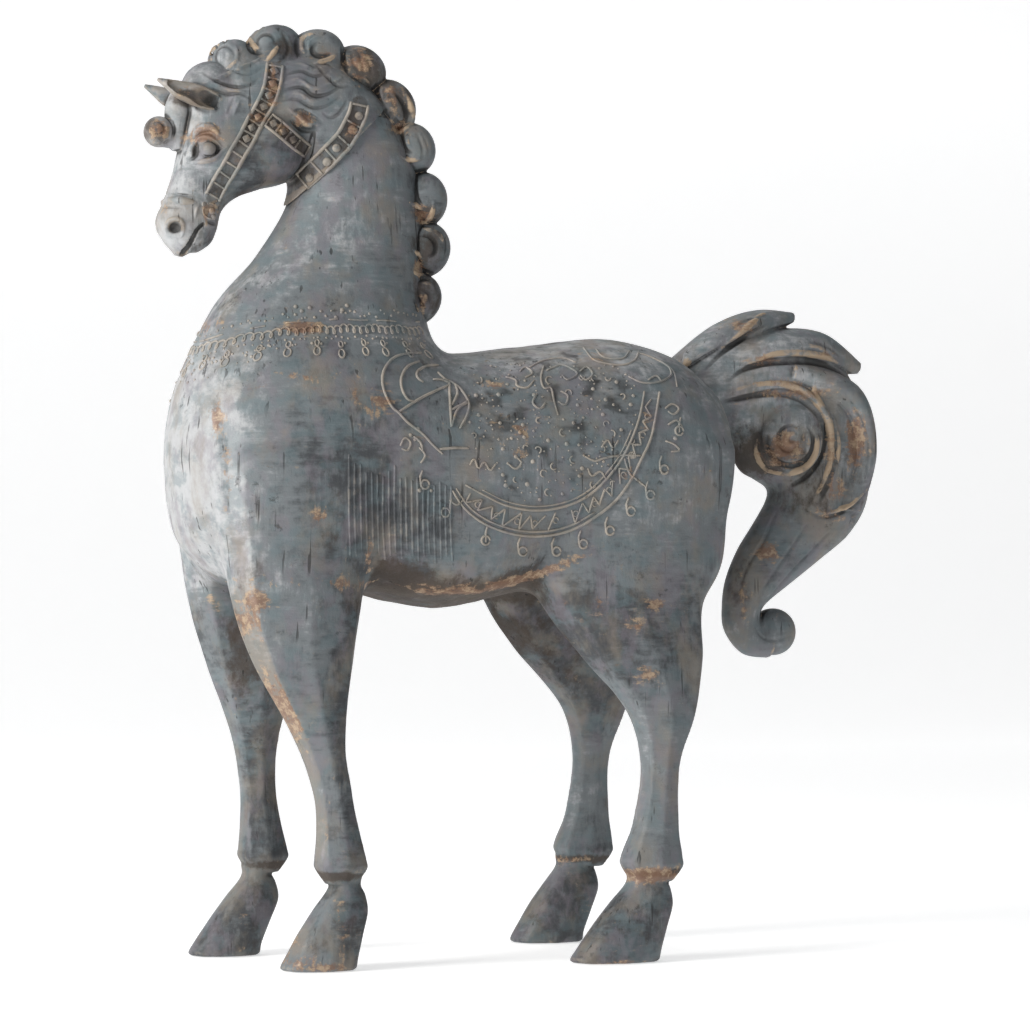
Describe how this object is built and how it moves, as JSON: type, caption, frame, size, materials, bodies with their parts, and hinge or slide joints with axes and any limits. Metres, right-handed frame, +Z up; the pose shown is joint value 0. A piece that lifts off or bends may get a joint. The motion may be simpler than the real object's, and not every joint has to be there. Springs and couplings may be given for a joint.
{
  "type": "horse statue",
  "caption": "Carved wooden horse standing on its hooves, with an arched neck, a curled mane, a bridle, a relief saddle cloth and a plumed tail.",
  "frame": {"origin": "on the ground, under the middle of the horse's bounding box", "axes": "+Z up, the horse faces -X, its left flank is on the -Y side"},
  "size_m": [0.5306, 0.198, 0.6228],
  "materials": {
    "painted_wood": "weathered blue-grey paint rubbed with copper and gold wax"
  },
  "bodies": {
    "root": {"horse": "painted_wood"}
  },
  "joints": []
}
